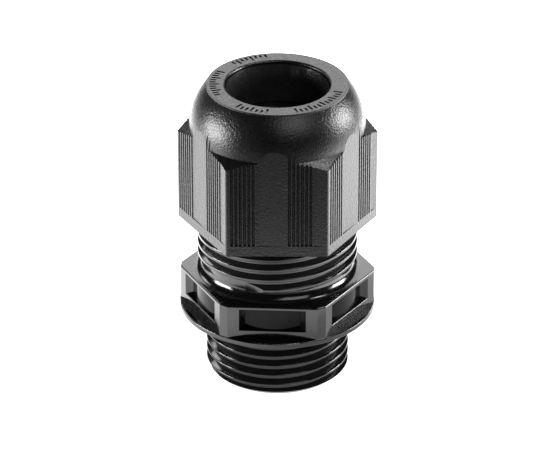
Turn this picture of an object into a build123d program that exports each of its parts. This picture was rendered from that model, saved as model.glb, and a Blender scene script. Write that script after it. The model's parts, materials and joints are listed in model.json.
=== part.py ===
"""Cable gland, M20 x 1.5: dome nut, sealing insert, clamping cage with lamella fingers, hexagon body.

Millimetres, +Z up, Z = 0 at the free end of the connection thread, axis on X = Y = 0.
Every piece is drawn where it stands with the nut run down about half way.
"""
from build123d import *
from math import cos, radians, sin, sqrt
import os

# ---- connection thread and collar -------------------------------------------------
CONN_R = 9.95            # crest radius of the M20 x 1.5 thread
CONN_CORE_R = 9.10       # root radius
CONN_PITCH = 1.5
CONN_LEN = 9.6           # free end to the underside of the flange
CONN_CHAMFER = 0.8
CONN_CREST_Z = 6.25      # a crest stands at this height on the -Y side
FLANGE_R = 13.6
FLANGE_T = 0.75
SEAT_RELIEF_R = 10.2     # shallow groove around the thread under the flange
SEAT_RELIEF_D = 0.3
HEX_AF = 24.0
HEX_CORNER_R = 13.5      # the collar's corners are turned off at this radius
COLLAR_TOP = 15.25
POCKET_Z0, POCKET_Z1 = 11.55, 14.68
POCKET_R = 5.6           # core radius of the pocket in each collar face
POCKET_OFFSET = 15.2     # distance of that core's axis from the gland's axis
COLLAR_EDGE, CORNER_EDGE, POCKET_EDGE, FLANGE_EDGE = 0.22, 0.15, 0.12, 0.14   # edge roundings

# ---- clamping thread ---------------------------------------------------------------
NUT_LEAD = 3.1           # advance in one turn: a two-start thread, crests 1.55 apart
CLAMP_R = 11.1           # crest radius on the body
CLAMP_CORE_R = 10.3
CREST_W = 0.40           # axial width of the crest
CREST_ROUND = 0.14
FLANK = 0.5774           # axial rise of a flank per mm of depth, 60 degree thread
CLAMP_TOP = 27.55        # end of the body
CLAMP_START_Z = 17.06    # middle of each ridge where it starts
CLAMP_STARTS_DEG = (-112.0, 68.0)
FADE_TURN, FADE_R = -8.35, 10.19   # flat that fades each start in: direction from the start, distance
BASE_FILLET = 1.4
THREAD_GAP = 0.13        # clearance between the two clamping threads, radial and on the flanks

# ---- bores of the body -------------------------------------------------------------
LOWER_BORE_R = 7.6
UPPER_BORE_R = 9.05
BORE_STEP_Z = 19.6

# ---- clamping cage and its fingers ---------------------------------------------------
FINGERS = 16
CAGE_IN_R = 8.5
CAGE_SPIGOT_R = 9.02
CAGE_OUT_R = 10.05
CAGE_SPIGOT_Z = 24.75
CAGE_TOP = 28.20
LUG_W, LUG_DEPTH = 1.8, 0.9
HINGE_R = 9.5            # radius at which each finger pivots
HINGE_Z = 28.55
FINGER_IN_R = 9.05
FINGER_OUT_R0, FINGER_OUT_R1 = 10.0, 10.27    # outer radius at the pivot and at the tip
FINGER_LEN = 6.8
FINGER_ROOT_R = 0.42
FINGER_HALF_W0, FINGER_HALF_W1 = 1.55, 1.28   # half width at the pivot and at the tip
ROOT_GAP = 0.06
LEAN_PER_MM = 1.65       # degrees of lean for each mm the nut comes down
NUT_UP = 3.1             # travel left upward, one turn; downward it is one and a half, 4.65

# ---- cap nut (heights from its own lower face) -----------------------------------------
NUT_Z = 23.05            # lower face of the nut as drawn
NUT_TURN = 3.0           # degrees the nut stands turned from the collar's hexagon
NUT_AF = 23.9
NUT_CORNER_FILLET = 0.4
NUT_LOWER_CHAMFER = 0.12
NUT_H = 20.4
DOME_BASE_R, DOME_BASE_H = 12.08, 14.2
RING_R, RING_STEP_H = 9.75, 20.18
NUT_HOLE_R = 7.2
NUT_THREAD_H0, NUT_THREAD_H1 = 0.9, 8.1
NUT_RELIEF_R = 11.27
CONE_H0, CONE_R0 = 8.9, 10.35
CONE_H1 = 18.4
CONE_SLOPE = 0.1952
SEAT_R, SEAT_H = 8.75, 19.15
RIB_H0, RIB_H1 = 1.6, 17.0   # height range of the grip ribs
MARK_ARCS = ((-124, -96), (-70, -14), (104, 136), (158, 206))   # tick groups on the top ring, degrees
MARK_STEP = 4.5
MARK_IN_R, MARK_OUT_R = 7.95, 9.25
MARK_W, MARK_DEPTH = 0.34, 0.16

# ---- sealing insert (heights from the nut's lower face) --------------------------------
SEAL_R = 8.2
SEAL_H0 = 7.5
SEAL_BORE_R = 6.5
SEAL_LIP_R = 8.65
SEAL_TOP_H = 19.95


def helix_ridge(inner_r, outer_r, inner_w, outer_w, lead, z_start, start_deg, turns, crest_round=0.0):
    """Helical bar of trapezoid section: inner_w high at inner_r, outer_w high at outer_r."""
    mid_r = (inner_r + outer_r) / 2
    with BuildPart() as bar:
        with BuildLine() as path:
            Helix(pitch=lead, height=lead * turns, radius=mid_r)
        with BuildSketch(Plane.XZ) as section:
            Polygon((inner_r, -inner_w / 2), (outer_r, -outer_w / 2),
                    (outer_r, outer_w / 2), (inner_r, inner_w / 2), align=None)
            if crest_round:
                fillet(section.vertices().group_by(Axis.X)[-1], crest_round)
        sweep(path=path.line, is_frenet=True)
    return bar.part.moved(Location((0, 0, z_start), (0, 0, start_deg)))


def flank_w(crest_w, crest_r, r):
    """Axial width of a 60 degree ridge at radius r."""
    return crest_w + 2 * FLANK * (crest_r - r)


# ---- ridges of the three threads ---------------------------------------------------------
conn_root = CONN_CORE_R - 0.12
conn_turns = 8.0
conn_start_z = CONN_CREST_Z - 5 * CONN_PITCH
conn_ridge = helix_ridge(conn_root, CONN_R, flank_w(0.22, CONN_R, conn_root), 0.22,
                         CONN_PITCH, conn_start_z, -86.5, conn_turns, 0.11)

clamp_root = CLAMP_CORE_R - 0.12
clamp_turns = (CLAMP_TOP - CLAMP_START_Z) / NUT_LEAD + 0.3
clamp_ridges = [helix_ridge(clamp_root, CLAMP_R, flank_w(CREST_W, CLAMP_R, clamp_root), CREST_W,
                            NUT_LEAD, CLAMP_START_Z, start, clamp_turns, CREST_ROUND)
                for start in CLAMP_STARTS_DEG]

# the grooves in the nut are the body's ridges grown by the clearance, in step with them
groove_in = CLAMP_CORE_R - 0.15
groove_out = CLAMP_R + THREAD_GAP
grow = 2 * THREAD_GAP / cos(radians(30))
groove_first = CLAMP_START_Z + 1.75 * NUT_LEAD
grooves = [helix_ridge(groove_in, groove_out,
                       flank_w(CREST_W, CLAMP_R, groove_in) + grow,
                       flank_w(CREST_W, CLAMP_R, groove_out) + grow,
                       NUT_LEAD, groove_first, start - 90, 3.2)
           for start in CLAMP_STARTS_DEG]

# ---- gland body ---------------------------------------------------------------------------
with BuildPart() as conn_thread:
    add(conn_ridge)
    with BuildSketch(Plane.XZ):
        Polygon((CONN_CORE_R - 0.6, 0), (CONN_R - CONN_CHAMFER, 0), (CONN_R + 0.05, CONN_CHAMFER),
                (CONN_R + 0.05, CONN_LEN + SEAT_RELIEF_D + 0.05),
                (CONN_CORE_R - 0.6, CONN_LEN + SEAT_RELIEF_D + 0.05), align=None)
    revolve(axis=Axis.Z, mode=Mode.INTERSECT)

with BuildPart() as clamp_thread:
    for ridge in clamp_ridges:
        add(ridge)
    with BuildSketch(Plane.XZ):
        Polygon((CLAMP_CORE_R - 0.6, COLLAR_TOP), (CLAMP_R + 0.05, COLLAR_TOP),
                (CLAMP_R + 0.05, CLAMP_TOP - 0.95), (CLAMP_CORE_R, CLAMP_TOP - 0.2),
                (CLAMP_CORE_R - 0.6, CLAMP_TOP - 0.2), align=None)
    revolve(axis=Axis.Z, mode=Mode.INTERSECT)
    for start in CLAMP_STARTS_DEG:
        with Locations(Location((0, 0, CLAMP_START_Z), (0, 0, start + FADE_TURN))):
            with Locations(Location((FADE_R, 3.0, 0))):
                Box(3, 4.2, 1.64, align=(Align.MIN, Align.CENTER, Align.CENTER), mode=Mode.SUBTRACT)

with BuildPart() as flange:
    with Locations((0, 0, CONN_LEN)):
        Cylinder(FLANGE_R, FLANGE_T, align=(Align.CENTER, Align.CENTER, Align.MIN))
    fillet(flange.edges().filter_by(GeomType.CIRCLE), FLANGE_EDGE)
    with Locations((0, 0, CONN_LEN)):
        Cylinder(SEAT_RELIEF_R, 2 * SEAT_RELIEF_D, mode=Mode.SUBTRACT)

with BuildPart() as gland_body:
    with BuildSketch(Plane.XY.offset(CONN_LEN + FLANGE_T / 2)):
        RegularPolygon(HEX_AF / 2, 6, major_radius=False, rotation=0)
        Circle(HEX_CORNER_R, mode=Mode.INTERSECT)
    extrude(amount=COLLAR_TOP - CONN_LEN - FLANGE_T / 2)
    fillet(gland_body.edges().filter_by(Axis.Z), CORNER_EDGE)
    fillet(gland_body.faces().sort_by(Axis.Z)[-1].edges(), COLLAR_EDGE)
    for face in range(6):
        with Locations(Location((0, 0, POCKET_Z0), (0, 0, 30 + 60 * face))):
            with Locations(Location((POCKET_OFFSET, 0, 0))):
                Cylinder(POCKET_R, POCKET_Z1 - POCKET_Z0,
                         align=(Align.CENTER, Align.CENTER, Align.MIN), mode=Mode.SUBTRACT)
    rims = []
    for face in range(6):
        outward = Vector(cos(radians(30 + 60 * face)), sin(radians(30 + 60 * face)), 0)
        rims += [e for e in gland_body.edges()
                 if abs(outward.dot(e.center()) - HEX_AF / 2) < 0.01
                 and POCKET_Z0 - 0.01 < e.center().Z < POCKET_Z1 + 0.01
                 and abs(e.center().cross(outward).Z) < 4.7]
    fillet(rims, POCKET_EDGE)
    add(flange.part)
    with BuildSketch(Plane.XZ):
        with BuildLine():
            Polyline((0, 0), (CONN_CORE_R - 0.25, 0), (CONN_CORE_R, 0.25), (CONN_CORE_R, CONN_LEN + 0.5),
                     (CLAMP_CORE_R + BASE_FILLET, CONN_LEN + 0.5), (CLAMP_CORE_R + BASE_FILLET, COLLAR_TOP))
            RadiusArc((CLAMP_CORE_R + BASE_FILLET, COLLAR_TOP),
                      (CLAMP_CORE_R, COLLAR_TOP + BASE_FILLET), BASE_FILLET)
            Polyline((CLAMP_CORE_R, COLLAR_TOP + BASE_FILLET), (CLAMP_CORE_R, CLAMP_TOP - 0.2),
                     (CLAMP_CORE_R - 0.2, CLAMP_TOP), (0, CLAMP_TOP), (0, 0))
        make_face()
    revolve(axis=Axis.Z)
    add(conn_thread.part)
    add(clamp_thread.part)
    with BuildSketch(Plane.XZ):
        Polygon((0, -0.1), (LOWER_BORE_R + 0.6, -0.1), (LOWER_BORE_R + 0.6, 0), (LOWER_BORE_R, 0.6),
                (LOWER_BORE_R, BORE_STEP_Z), (UPPER_BORE_R, BORE_STEP_Z + 0.9),
                (UPPER_BORE_R, CLAMP_TOP + 0.1), (0, CLAMP_TOP + 0.1), align=None)
    revolve(axis=Axis.Z, mode=Mode.SUBTRACT)
    for k in range(4):
        with Locations(Location((0, 0, CLAMP_TOP - LUG_DEPTH - 0.1), (0, 0, 11.25 + 90 * k))):
            with Locations(Location((UPPER_BORE_R - 0.5, 0, 0))):
                Box(3.2, LUG_W + 0.1, LUG_DEPTH + 0.2,
                    align=(Align.MIN, Align.CENTER, Align.MIN), mode=Mode.SUBTRACT)

# ---- clamping cage ------------------------------------------------------------------------
with BuildPart() as clamping_cage:
    with BuildSketch(Plane.XZ):
        Polygon((CAGE_IN_R, CAGE_SPIGOT_Z), (CAGE_SPIGOT_R - 0.15, CAGE_SPIGOT_Z),
                (CAGE_SPIGOT_R, CAGE_SPIGOT_Z + 0.3), (CAGE_SPIGOT_R, CLAMP_TOP),
                (CAGE_OUT_R, CLAMP_TOP), (CAGE_OUT_R, CAGE_TOP), (CAGE_IN_R + 0.2, CAGE_TOP),
                (CAGE_IN_R, CAGE_TOP - 0.3), align=None)
    revolve(axis=Axis.Z)
    for k in range(4):
        with Locations(Location((0, 0, CLAMP_TOP - LUG_DEPTH), (0, 0, 11.25 + 90 * k))):
            with Locations(Location((CAGE_SPIGOT_R - 0.3, 0, 0))):
                Box(CAGE_OUT_R - 0.05 - CAGE_SPIGOT_R + 0.3, LUG_W, LUG_DEPTH + 0.2,
                    align=(Align.MIN, Align.CENTER, Align.MIN))
    for k in range(FINGERS):
        with Locations(Location((0, 0, HINGE_Z), (0, 0, 360 / FINGERS * k))):
            with Locations(Location((HINGE_R, 0, 0), (90, 0, 0))):
                Cylinder(FINGER_ROOT_R + ROOT_GAP, 2 * (FINGER_HALF_W0 + 0.12), mode=Mode.SUBTRACT)

# ---- one lamella finger, upright on the +X side, then leaned in as the nut holds it -----------
with BuildPart() as finger_blank:
    with BuildSketch(Plane.XZ):
        Polygon((FINGER_IN_R, HINGE_Z), (FINGER_OUT_R0, HINGE_Z), (FINGER_OUT_R1, HINGE_Z + FINGER_LEN),
                (FINGER_IN_R, HINGE_Z + FINGER_LEN), align=None)
    revolve(axis=Axis.Z)
    with BuildSketch(Plane.YZ):
        Polygon((-FINGER_HALF_W0, HINGE_Z), (FINGER_HALF_W0, HINGE_Z),
                (FINGER_HALF_W1, HINGE_Z + FINGER_LEN), (-FINGER_HALF_W1, HINGE_Z + FINGER_LEN), align=None)
    extrude(amount=20, mode=Mode.INTERSECT)
    tip_edges = finger_blank.faces().sort_by(Axis.Z)[-1].edges().filter_by(GeomType.CIRCLE)
    chamfer(tip_edges.sort_by(SortBy.RADIUS)[:1], 0.35)
    tip_edges = finger_blank.faces().sort_by(Axis.Z)[-1].edges().filter_by(GeomType.CIRCLE)
    fillet(tip_edges.sort_by(SortBy.RADIUS)[-1:], 0.25)
    with Locations(Location((HINGE_R, 0, HINGE_Z), (90, 0, 0))):
        Cylinder(FINGER_ROOT_R, 2 * FINGER_HALF_W0)

lean = LEAN_PER_MM * NUT_UP
hinge_axis = Axis((HINGE_R, 0, HINGE_Z), (0, -1, 0))
leaned = finger_blank.part.rotate(hinge_axis, lean)
fingers = [leaned.rotate(Axis.Z, 360 / FINGERS * k) for k in range(FINGERS)]

# ---- sealing insert ------------------------------------------------------------------------
with BuildPart() as sealing_insert:
    with BuildSketch(Plane.XZ.shift_origin((0, 0, NUT_Z))):
        with BuildLine():
            Polyline((SEAL_BORE_R + 0.5, SEAL_H0), (SEAL_R - 0.3, SEAL_H0), (SEAL_R, SEAL_H0 + 0.3),
                     (SEAL_R, 12.35), (7.08, 18.0), (7.08, 18.46), (SEAL_LIP_R - 0.1, 18.46),
                     (SEAL_LIP_R, 18.56), (SEAL_LIP_R, SEAT_H - 0.06), (NUT_HOLE_R - 0.08, SEAT_H - 0.06),
                     (NUT_HOLE_R - 0.08, SEAL_TOP_H - 0.1), (NUT_HOLE_R - 0.16, SEAL_TOP_H))
            RadiusArc((NUT_HOLE_R - 0.16, SEAL_TOP_H), (SEAL_BORE_R, 16.2), -14)
            Polyline((SEAL_BORE_R, 16.2), (SEAL_BORE_R, 14.6), (SEAL_BORE_R + 0.4, 14.4),
                     (SEAL_BORE_R + 0.4, 13.6), (SEAL_BORE_R, 13.5), (SEAL_BORE_R, SEAL_H0 + 0.5),
                     (SEAL_BORE_R + 0.5, SEAL_H0))
        make_face()
    revolve(axis=Axis.Z)

# ---- cap nut -------------------------------------------------------------------------------
dome_rise = RING_STEP_H - DOME_BASE_H
dome_run = DOME_BASE_R - RING_R
DOME_ARC_R = (dome_rise ** 2 + dome_run ** 2) / (2 * dome_run)
CORNER_SLOPE = 0.645     # fall of the corner facets per mm of radius

half_face = NUT_AF / 2 / sqrt(3)


def rib_profile():
    """Grip outline of one face: points (along the face, depth), two ribbed strips and two plain ones."""
    points = [(-half_face + 0.35, 0.0)]
    for first, last, plain_to in ((0.35, 4.15, 8.15), (8.15, 11.95, 13.5)):
        grooves = 6
        step = (last - first - 0.3) / grooves
        for g in range(grooves):
            mid = first + 0.12 + step * (g + 0.5) - half_face
            points += [(mid - 0.19, 0.0), (mid - 0.03, 0.24), (mid + 0.05, 0.24), (mid + 0.19, 0.0)]
        points += [(last - half_face, 0.0), (last + 0.03 - half_face, 0.10), (plain_to - half_face, 0.0)]
    return points


with BuildPart() as cap_nut:
    with BuildSketch(Plane.XY.offset(NUT_Z)):
        nut_hex = RegularPolygon(NUT_AF / 2, 6, major_radius=False, rotation=NUT_TURN)
        fillet(nut_hex.vertices(), NUT_CORNER_FILLET)
    extrude(amount=NUT_H)
    chamfer(cap_nut.faces().sort_by(Axis.Z)[0].edges(), NUT_LOWER_CHAMFER)
    with BuildSketch(Plane.XZ.shift_origin((0, 0, NUT_Z))):
        with BuildLine():
            Polyline((DOME_BASE_R, DOME_BASE_H), (14.0, DOME_BASE_H - CORNER_SLOPE * (14.0 - DOME_BASE_R)),
                     (14.0, 0), (0, 0), (0, NUT_H), (RING_R - 0.05, NUT_H), (RING_R, NUT_H - 0.05),
                     (RING_R, RING_STEP_H))
            RadiusArc((RING_R, RING_STEP_H), (DOME_BASE_R, DOME_BASE_H), DOME_ARC_R)
        make_face()
    revolve(axis=Axis.Z, mode=Mode.INTERSECT)
    for face in range(6):
        frame = Plane.XY.offset(NUT_Z + RIB_H0).rotated((0, 0, NUT_TURN + 60 * face))
        with BuildSketch(frame):
            with BuildLine():
                outline = [(u, -NUT_AF / 2 + v) for u, v in rib_profile()]
                Polyline(*outline, (outline[-1][0], -NUT_AF / 2 - 0.4), (outline[0][0], -NUT_AF / 2 - 0.4),
                         close=True)
            make_face()
        extrude(amount=RIB_H1 - RIB_H0, mode=Mode.SUBTRACT)
    bore_r = CLAMP_CORE_R + THREAD_GAP + 0.01
    with BuildSketch(Plane.XZ.shift_origin((0, 0, NUT_Z))):
        with BuildLine():
            Polyline((0, -0.1), (11.3, -0.1), (11.3, NUT_THREAD_H0), (bore_r, NUT_THREAD_H0 + 0.5),
                     (bore_r, NUT_THREAD_H1), (NUT_RELIEF_R, NUT_THREAD_H1 + 0.4), (NUT_RELIEF_R, CONE_H0 - 0.1),
                     (CONE_R0 + 0.1, CONE_H0), (CONE_R0 - CONE_SLOPE * (CONE_H1 - CONE_H0), CONE_H1),
                     (SEAT_R, CONE_H1 + 0.05), (SEAT_R, SEAT_H), (NUT_HOLE_R, SEAT_H),
                     (NUT_HOLE_R, NUT_H - 0.3))
            RadiusArc((NUT_HOLE_R, NUT_H - 0.3), (NUT_HOLE_R + 0.3, NUT_H), 0.3)
            Polyline((NUT_HOLE_R + 0.3, NUT_H), (NUT_HOLE_R + 0.3, NUT_H + 0.1), (0, NUT_H + 0.1), (0, -0.1))
        make_face()
    revolve(axis=Axis.Z, mode=Mode.SUBTRACT)
    for groove in grooves:
        add(groove, mode=Mode.SUBTRACT)
    for arc_start, arc_end in MARK_ARCS:
        ticks = round((arc_end - arc_start) / MARK_STEP)
        for t in range(ticks + 1):
            angle = arc_start + (arc_end - arc_start) * t / ticks
            inner = MARK_IN_R if t % 3 == 0 else MARK_IN_R + 0.45
            with Locations(Location((0, 0, NUT_Z + NUT_H - MARK_DEPTH), (0, 0, angle))):
                with Locations(Location((inner, 0, 0))):
                    Box(MARK_OUT_R - inner, MARK_W, MARK_DEPTH + 0.2,
                        align=(Align.MIN, Align.CENTER, Align.MIN), mode=Mode.SUBTRACT)

# ---- labels and files ------------------------------------------------------------------------
gland_body.part.label = "gland_body"
clamping_cage.part.label = "clamping_cage"
sealing_insert.part.label = "sealing_insert"
cap_nut.part.label = "cap_nut"

os.makedirs("parts", exist_ok=True)
export_step(gland_body.part, "parts/gland_body.step")
export_step(clamping_cage.part, "parts/clamping_cage.step")
export_step(sealing_insert.part, "parts/sealing_insert.step")
export_step(cap_nut.part, "parts/cap_nut.step")
for number, finger in enumerate(fingers, start=1):
    finger.label = f"finger_{number:02d}"
    export_step(finger, f"parts/finger_{number:02d}.step")
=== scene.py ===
import bpy
import json
import math
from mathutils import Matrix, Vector

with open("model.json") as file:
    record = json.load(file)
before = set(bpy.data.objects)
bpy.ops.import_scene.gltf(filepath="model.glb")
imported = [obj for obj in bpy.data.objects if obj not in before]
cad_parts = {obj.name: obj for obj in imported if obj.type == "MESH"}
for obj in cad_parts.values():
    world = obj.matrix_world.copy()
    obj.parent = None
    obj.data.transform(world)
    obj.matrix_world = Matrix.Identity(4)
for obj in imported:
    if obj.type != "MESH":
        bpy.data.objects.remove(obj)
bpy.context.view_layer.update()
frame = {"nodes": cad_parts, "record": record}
scene = bpy.context.scene

# ---------------------------------------------------------------- materials: dimensions in metres
POCKET_Z = (0.01148, 0.01473)     # lower and upper end of the pockets in the collar
POCKET_R = 0.0118                 # the deep part of a pocket lies inside this radius, the faces outside
POCKET_EDGE_Z, POCKET_EDGE_R = 0.00008, 0.00015      # half the width over which the painted shade in the pocket sets in
# specular levels; the low level inside the pockets is painted shade, turning down their reflection to darken
# them
BODY_SHEEN, POCKET_PAINTED_SHADE_SPECULAR, NUT_SHEEN = 0.42, 0.06, 0.32

# ---------------------------------------------------------------- table: glow as radiance, where white is 1
TABLE_HALF = 1.6
TABLE_GLOW = 3.5                  # behind and beside the object
TABLE_LEFT, TABLE_RIGHT = 0.5, 2.4     # added on either side
TABLE_FRONT = 0.02                # in front of the object
TABLE_SHARE_UNDER, TABLE_SHARE_FAR = 0.34, 0.15      # share of the glow left under the object and far away
TABLE_FADE_Y = (-0.056, -0.038)
TABLE_SIDE_X = (0.02, 0.06)
TABLE_UNDER_X = 0.008             # the darker patch under the object lies a little to its right
TABLE_UNDER_R = (0.030, 0.038)
TABLE_FAR = (0.13, 0.28)

# ---------------------------------------------------------------- panels: place, size and radiance
PANELS = (
    ("softbox_left", (-0.23, -0.03, 0.045), (0.12, 0.08), 33.0),
    ("softbox_right", (0.24, 0.055, 0.088), (0.11, 0.09), 34.0),
    ("softbox_back", (0.0, 0.42, 0.26), (0.46, 0.24), 3.7),
    ("softbox_back_left", (-0.24, 0.23, 0.225), (0.10, 0.08), 7.0),
    ("top_right", (0.141, 0.043, 0.36), (0.11, 0.11), 16.0),
    ("key_front", (0.17, -0.27, 0.34), (0.26, 0.22), 3.6),
)
PANEL_TARGET = Vector((0, 0, 0.024))
WORLD_LIGHT = 0.02

# ---------------------------------------------------------------- camera
CAMERA_AZ, CAMERA_EL = math.radians(3.3), math.radians(28.0)
CAMERA_DISTANCE = 0.554
SENSOR_MM, LENS_MM = 36.0, 260.398
AIM_HEIGHT = 0.0226
SHIFT_RIGHT, SHIFT_UP = 0.00013, 0.00111


class Mat:
    """A Principled material with its procedural inputs, in object coordinates (metres)."""

    def __init__(self, name):
        self.mat = bpy.data.materials.new(name)
        self.mat.use_nodes = True
        self.tree = self.mat.node_tree
        self.bsdf = self.tree.nodes["Principled BSDF"]
        self.coord = self.tree.nodes.new("ShaderNodeTexCoord").outputs["Object"]

    def set(self, **values):
        for key, value in values.items():
            self.bsdf.inputs[key.replace("_", " ")].default_value = value

    def link(self, out, key):
        self.tree.links.new(out, self.bsdf.inputs[key])

    def xyz(self):
        split = self.tree.nodes.new("ShaderNodeSeparateXYZ")
        self.tree.links.new(self.coord, split.inputs[0])
        return [split.outputs[axis] for axis in "XYZ"]

    def noise(self, scale, detail=2.0, rough=0.5):
        n = self.tree.nodes.new("ShaderNodeTexNoise")
        n.inputs["Scale"].default_value = scale
        n.inputs["Detail"].default_value = detail
        n.inputs["Roughness"].default_value = rough
        self.tree.links.new(self.coord, n.inputs["Vector"])
        return n.outputs["Fac"]

    def voronoi(self, scale):
        n = self.tree.nodes.new("ShaderNodeTexVoronoi")
        n.inputs["Scale"].default_value = scale
        self.tree.links.new(self.coord, n.inputs["Vector"])
        return n.outputs["Distance"]

    def ramp(self, fac, low, high):
        """Blend between two stops, each a position with a grey value or a colour."""
        n = self.tree.nodes.new("ShaderNodeValToRGB")
        for element, (position, value) in zip(n.color_ramp.elements, (low, high)):
            element.position = position
            element.color = (*value, 1.0) if isinstance(value, tuple) else (value, value, value, 1.0)
        self.tree.links.new(fac, n.inputs["Fac"])
        return n.outputs["Color"]

    def math(self, op, *values):
        n = self.tree.nodes.new("ShaderNodeMath")
        n.operation = op
        for socket, value in zip(n.inputs, values):
            if isinstance(value, (int, float)):
                socket.default_value = value
            else:
                self.tree.links.new(value, socket)
        return n.outputs["Value"]

    def length(self, x, y):
        return self.math("SQRT", self.math("ADD", self.math("MULTIPLY", x, x), self.math("MULTIPLY", y, y)))

    def fade(self, value, lo, hi, out_lo, out_hi):
        """Smooth change from out_lo to out_hi while value goes from lo to hi."""
        n = self.tree.nodes.new("ShaderNodeMapRange")
        n.interpolation_type = "SMOOTHSTEP"
        for key, limit in (("From Min", lo), ("From Max", hi), ("To Min", out_lo), ("To Max", out_hi)):
            n.inputs[key].default_value = limit
        self.tree.links.new(value, n.inputs["Value"])
        return n.outputs["Result"]

    def bump(self, height, distance, strength, under=None):
        n = self.tree.nodes.new("ShaderNodeBump")
        n.inputs["Distance"].default_value = distance
        n.inputs["Strength"].default_value = strength
        self.tree.links.new(height, n.inputs["Height"])
        if under is not None:
            self.tree.links.new(under, n.inputs["Normal"])
        return n.outputs["Normal"]


def nut_polyamide():
    """Spark-eroded moulding: fine grain in the surface, satin sheen, a little colour variation."""
    m = Mat("nut_polyamide_textured")
    m.set(IOR=1.5, Specular_IOR_Level=NUT_SHEEN)
    tone = m.ramp(m.noise(900, 3), (0.3, (0.0022, 0.0021, 0.0021)), (0.75, (0.0042, 0.0040, 0.0040)))
    m.link(tone, "Base Color")
    m.link(m.ramp(m.noise(4200), (0.25, 0.24), (0.75, 0.36)), "Roughness")
    grain = m.math("ADD", m.noise(3600, 3, 0.6), m.math("MULTIPLY", m.voronoi(3400), 0.6))
    soft = m.bump(m.noise(160), 0.00006, 0.5)
    m.link(m.bump(grain, 0.000045, 0.8, soft), "Normal")
    return m.mat


def body_polyamide():
    """Glossy moulding: slight flow waviness, faint haze, fine specks, and painted shade in the collar's
    pockets, where the reflection is turned down to darken them.
    """
    m = Mat("body_polyamide_gloss")
    m.set(IOR=1.5)
    x, y, z = m.xyz()
    z0, z1 = POCKET_Z
    above = m.fade(z, z0 - POCKET_EDGE_Z, z0 + POCKET_EDGE_Z, 0.0, 1.0)
    below = m.fade(z, z1 - POCKET_EDGE_Z, z1 + POCKET_EDGE_Z, 1.0, 0.0)
    inside = m.fade(m.length(x, y), POCKET_R - POCKET_EDGE_R, POCKET_R + POCKET_EDGE_R, 1.0, 0.0)
    # painted shade: inside the pockets the specular level is lowered so that they read darker
    pocket = m.math("MULTIPLY", inside, m.math("MULTIPLY", above, below))
    m.link(m.fade(pocket, 0.0, 1.0, BODY_SHEEN, POCKET_PAINTED_SHADE_SPECULAR), "Specular IOR Level")
    tone = m.ramp(m.noise(420, 3), (0.3, 0.0018), (0.75, (0.0032, 0.0031, 0.0031)))
    m.link(tone, "Base Color")
    m.link(m.ramp(m.noise(1500, 3), (0.3, 0.10), (0.75, 0.20)), "Roughness")
    flow = m.bump(m.noise(260, 2, 0.4), 0.00005, 0.5)
    m.link(m.bump(m.noise(5200), 0.000006, 0.5, flow), "Normal")
    return m.mat


def seal_rubber():
    """Smooth elastomer with soft gloss and a slight bloom."""
    m = Mat("seal_elastomer")
    m.set(IOR=1.5)
    tone = m.ramp(m.noise(500, 3), (0.3, 0.010), (0.8, (0.018, 0.0177, 0.0173)))
    m.link(tone, "Base Color")
    m.link(m.ramp(m.noise(1900, 3), (0.3, 0.16), (0.75, 0.30)), "Roughness")
    m.link(m.bump(m.noise(700), 0.00003, 0.4), "Normal")
    return m.mat


def cage_polyamide():
    """Plain moulded polyamide of the cage and its fingers."""
    m = Mat("cage_polyamide_moulded")
    m.set(IOR=1.5)
    tone = m.ramp(m.noise(600, 3), (0.3, (0.012, 0.012, 0.0125)), (0.75, (0.02, 0.02, 0.021)))
    m.link(tone, "Base Color")
    m.link(m.ramp(m.noise(2600, 3), (0.3, 0.28), (0.75, 0.42)), "Roughness")
    m.link(m.bump(m.noise(4200), 0.00001, 0.5), "Normal")
    return m.mat


def finish_nodes():
    """Give every CAD node the material of its slot in the record."""
    materials = {
        "body_polyamide": body_polyamide(),
        "nut_polyamide": nut_polyamide(),
        "cage_polyamide": cage_polyamide(),
        "seal_rubber": seal_rubber(),
    }
    slots = {part["node"]: part["material_slot"] for part in frame["record"]["subparts"]}
    for node, obj in frame["nodes"].items():
        for slot in obj.material_slots:
            slot.material = materials[slots[node]]


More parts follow.
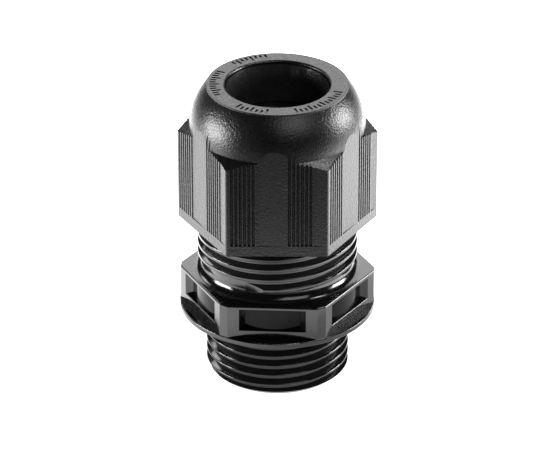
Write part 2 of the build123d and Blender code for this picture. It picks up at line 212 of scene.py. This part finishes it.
def light_table():
    """Pale, softly glowing table: brightest beside the object and to its right, fading out in front of it."""
    m = Mat("table_pale")
    m.set(Roughness=0.9, Specular_IOR_Level=0.0, Emission_Color=(1, 1, 1, 1))
    m.link(m.ramp(m.noise(9), (0.2, 0.36), (0.8, 0.35)), "Base Color")
    x, y, _ = m.xyz()
    near, wide = TABLE_SIDE_X
    behind = m.fade(y, *TABLE_FADE_Y, 0.0, 1.0)
    sides = m.math("ADD", m.fade(x, near, wide, 0.0, TABLE_RIGHT), m.fade(x, -near, -wide, 0.0, TABLE_LEFT))
    away = m.math("ADD", m.math("ABSOLUTE", x), m.math("ABSOLUTE", y))
    radius = m.length(m.math("SUBTRACT", x, TABLE_UNDER_X), y)
    share = m.math("MULTIPLY", m.fade(radius, *TABLE_UNDER_R, TABLE_SHARE_UNDER, 1.0),
                   m.fade(away, *TABLE_FAR, 1.0, TABLE_SHARE_FAR))
    glow = m.math("MULTIPLY", m.math("MULTIPLY", behind, m.math("ADD", sides, TABLE_GLOW)), share)
    m.link(m.math("ADD", glow, TABLE_FRONT), "Emission Strength")
    corners = [(-TABLE_HALF, -TABLE_HALF, 0), (TABLE_HALF, -TABLE_HALF, 0),
               (TABLE_HALF, TABLE_HALF, 0), (-TABLE_HALF, TABLE_HALF, 0)]
    mesh = bpy.data.meshes.new("table")
    mesh.from_pydata(corners, [], [(0, 1, 2, 3)])
    mesh.materials.append(m.mat)
    table = bpy.data.objects.new("table", mesh)
    scene.collection.objects.link(table)


def panel(name, place, size, radiance):
    """Rectangular area light that faces the object."""
    light = bpy.data.lights.new(name, "AREA")
    light.shape = "RECTANGLE"
    light.size, light.size_y = size
    light.energy = radiance * math.pi * size[0] * size[1]
    obj = bpy.data.objects.new(name, light)
    obj.location = place
    obj.rotation_mode = "QUATERNION"
    obj.rotation_quaternion = (PANEL_TARGET - Vector(place)).to_track_quat("-Z", "Y")
    scene.collection.objects.link(obj)


def studio_world():
    world = bpy.data.worlds.new("studio")
    world.use_nodes = True
    background = world.node_tree.nodes["Background"]
    background.inputs["Color"].default_value = (1, 1, 1, 1)
    background.inputs["Strength"].default_value = WORLD_LIGHT
    scene.world = world


def camera():
    """Camera above the front of the object, a little to its right."""
    level = math.cos(CAMERA_EL)
    towards = Vector((math.sin(CAMERA_AZ) * level, -math.cos(CAMERA_AZ) * level, math.sin(CAMERA_EL)))
    turn = (-towards).to_track_quat("-Z", "Y")
    right, up = turn @ Vector((1, 0, 0)), turn @ Vector((0, 1, 0))
    aim = Vector((0, 0, AIM_HEIGHT)) - right * SHIFT_RIGHT - up * SHIFT_UP
    lens = bpy.data.cameras.new("camera")
    lens.sensor_width = SENSOR_MM
    lens.lens = LENS_MM
    lens.clip_start, lens.clip_end = 0.01, 10.0
    obj = bpy.data.objects.new("camera", lens)
    obj.rotation_mode = "QUATERNION"
    obj.rotation_quaternion = turn
    obj.location = aim + towards * CAMERA_DISTANCE
    scene.collection.objects.link(obj)
    scene.camera = obj


finish_nodes()
light_table()
for panel_values in PANELS:
    panel(*panel_values)
studio_world()
camera()
scene.view_settings.view_transform = "Standard"
scene.view_settings.look = "None"
